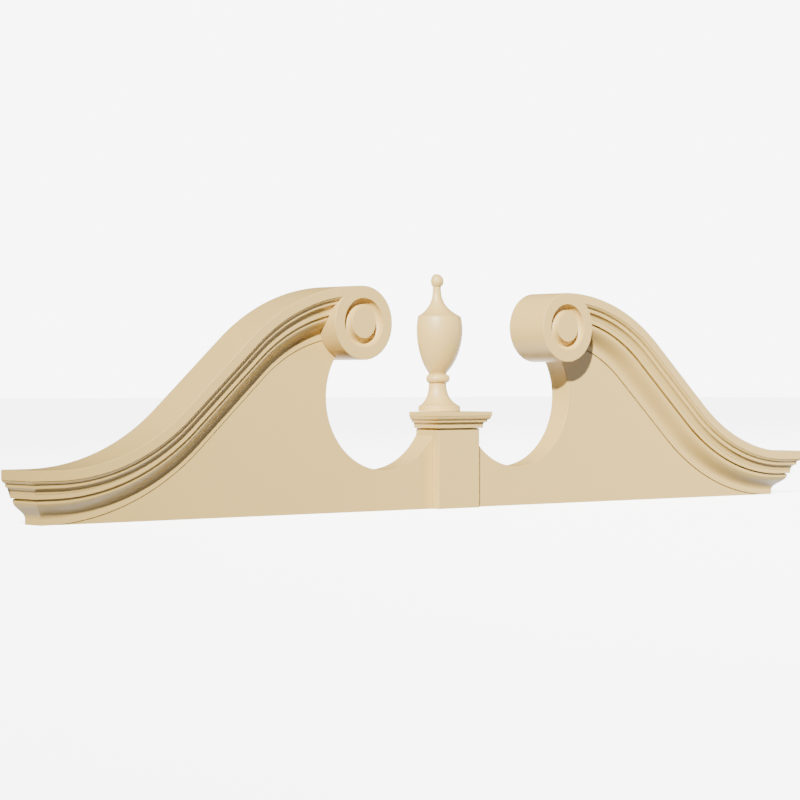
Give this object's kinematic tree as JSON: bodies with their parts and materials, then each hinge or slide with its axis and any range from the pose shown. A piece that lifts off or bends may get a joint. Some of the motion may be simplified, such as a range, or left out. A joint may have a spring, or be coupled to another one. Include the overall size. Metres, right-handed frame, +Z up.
{
  "type": "swan-neck pediment",
  "caption": "Broken pediment with swan-neck mouldings that end in round scrolls, scooped panel, and a half urn on a capped pedestal.",
  "frame": {"origin": "on the underside, midway along the length and midway through the depth", "axes": "+X along the length, -Y out of the wall towards the viewer, +Z up"},
  "size_m": [1.524, 0.0746, 0.3507],
  "materials": {
    "moulded_finish": "smooth satin cream paint on moulded polyurethane"
  },
  "bodies": {
    "root": {"tympanum_panel": "moulded_finish", "crown_scroll_left": "moulded_finish", "crown_scroll_right": "moulded_finish", "bed_moulding_left": "moulded_finish", "bed_moulding_right": "moulded_finish", "pedestal_block": "moulded_finish", "pedestal_cap": "moulded_finish", "urn_finial": "moulded_finish"}
  },
  "joints": []
}
